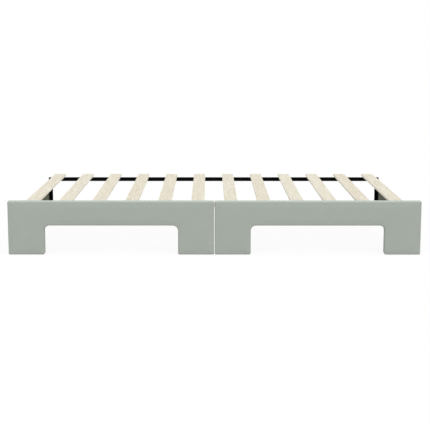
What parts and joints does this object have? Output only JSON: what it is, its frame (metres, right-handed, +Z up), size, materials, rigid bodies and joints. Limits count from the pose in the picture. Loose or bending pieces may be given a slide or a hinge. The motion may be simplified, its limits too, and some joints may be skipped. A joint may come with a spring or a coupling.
{
  "type": "trundle bed",
  "caption": "Low trundle bed on fixed castors: upholstered front panels with cut-out feet, wooden slats across black square-tube rails, and low padded side boards.",
  "frame": {"origin": "on the floor, below the centre of the bed's outline", "axes": "+X along the bed's length, +Y from the upholstered front to the back, +Z up"},
  "size_m": [1.98, 0.92, 0.264],
  "materials": {
    "velvet": "short pile velvet, pale grey-green",
    "foam": "soft upholstery foam",
    "board": "bare fibreboard",
    "block_wood": "planed pine",
    "slat_wood": "smooth pale plywood",
    "black_steel": "black powder coat",
    "black_bolt": "black oxide",
    "zinc_steel": "bright zinc plated",
    "cap_plastic": "black moulded plastic",
    "wheel_plastic": "black moulded nylon"
  },
  "bodies": {
    "bed_frame": {"back_leg_left": "black_steel", "back_leg_mid_left": "black_steel", "back_leg_mid_right": "black_steel", "back_leg_right": "black_steel", "back_rail_left": "black_steel", "back_rail_right": "black_steel", "block_screws": "zinc_steel", "castor_axles": "zinc_steel", "castor_fork_back_left": "zinc_steel", "castor_fork_back_mid_left": "zinc_steel", "castor_fork_back_mid_right": "zinc_steel", "castor_fork_back_right": "zinc_steel", "castor_fork_front_left": "zinc_steel", "castor_fork_front_mid_left": "zinc_steel", "castor_fork_front_mid_right": "zinc_steel", "castor_fork_front_right": "zinc_steel", "castor_screws": "zinc_steel", "frame_bolts": "black_bolt", "frame_nuts": "zinc_steel", "front_rail_left": "black_steel", "front_rail_right": "black_steel", "pan_screws": "zinc_steel", "panel_block_left": "block_wood", "panel_block_mid_left": "block_wood", "panel_block_mid_right": "block_wood", "panel_block_right": "block_wood", "panel_board_left": "board", "panel_board_right": "board", "panel_cover_left": "velvet", "panel_cover_right": "velvet", "panel_foam_left": "foam", "panel_foam_right": "foam", "rail_sleeves": "zinc_steel", "side_board_left": "board", "side_board_right": "board", "side_cover_left": "velvet", "side_cover_right": "velvet", "slat_01": "slat_wood", "slat_02": "slat_wood", "slat_03": "slat_wood", "slat_04": "slat_wood", "slat_05": "slat_wood", "slat_06": "slat_wood", "slat_07": "slat_wood", "slat_08": "slat_wood", "slat_09": "slat_wood", "slat_10": "slat_wood", "slat_11": "slat_wood", "slat_12": "slat_wood", "slat_screws": "zinc_steel", "tube_end_caps": "cap_plastic"},
    "wheel_front_left": {"castor_wheel_front_left": "wheel_plastic"},
    "wheel_front_mid_left": {"castor_wheel_front_mid_left": "wheel_plastic"},
    "wheel_front_mid_right": {"castor_wheel_front_mid_right": "wheel_plastic"},
    "wheel_front_right": {"castor_wheel_front_right": "wheel_plastic"},
    "wheel_back_left": {"castor_wheel_back_left": "wheel_plastic"},
    "wheel_back_mid_left": {"castor_wheel_back_mid_left": "wheel_plastic"},
    "wheel_back_mid_right": {"castor_wheel_back_mid_right": "wheel_plastic"},
    "wheel_back_right": {"castor_wheel_back_right": "wheel_plastic"}
  },
  "joints": [
    {"name": "front_left_wheel_spin", "type": "hinge", "parent": "bed_frame", "child": "wheel_front_left", "pos_m": [-0.908, -0.39475, 0.025], "axis": [1, 0, 0], "continuous": true},
    {"name": "front_mid_left_wheel_spin", "type": "hinge", "parent": "bed_frame", "child": "wheel_front_mid_left", "pos_m": [-0.08, -0.39475, 0.025], "axis": [1, 0, 0], "continuous": true},
    {"name": "front_mid_right_wheel_spin", "type": "hinge", "parent": "bed_frame", "child": "wheel_front_mid_right", "pos_m": [0.08, -0.39475, 0.025], "axis": [1, 0, 0], "continuous": true},
    {"name": "front_right_wheel_spin", "type": "hinge", "parent": "bed_frame", "child": "wheel_front_right", "pos_m": [0.908, -0.39475, 0.025], "axis": [1, 0, 0], "continuous": true},
    {"name": "back_left_wheel_spin", "type": "hinge", "parent": "bed_frame", "child": "wheel_back_left", "pos_m": [-0.928, 0.403, 0.025], "axis": [1, 0, 0], "continuous": true},
    {"name": "back_mid_left_wheel_spin", "type": "hinge", "parent": "bed_frame", "child": "wheel_back_mid_left", "pos_m": [-0.08, 0.403, 0.025], "axis": [1, 0, 0], "continuous": true},
    {"name": "back_mid_right_wheel_spin", "type": "hinge", "parent": "bed_frame", "child": "wheel_back_mid_right", "pos_m": [0.08, 0.403, 0.025], "axis": [1, 0, 0], "continuous": true},
    {"name": "back_right_wheel_spin", "type": "hinge", "parent": "bed_frame", "child": "wheel_back_right", "pos_m": [0.928, 0.403, 0.025], "axis": [1, 0, 0], "continuous": true}
  ]
}
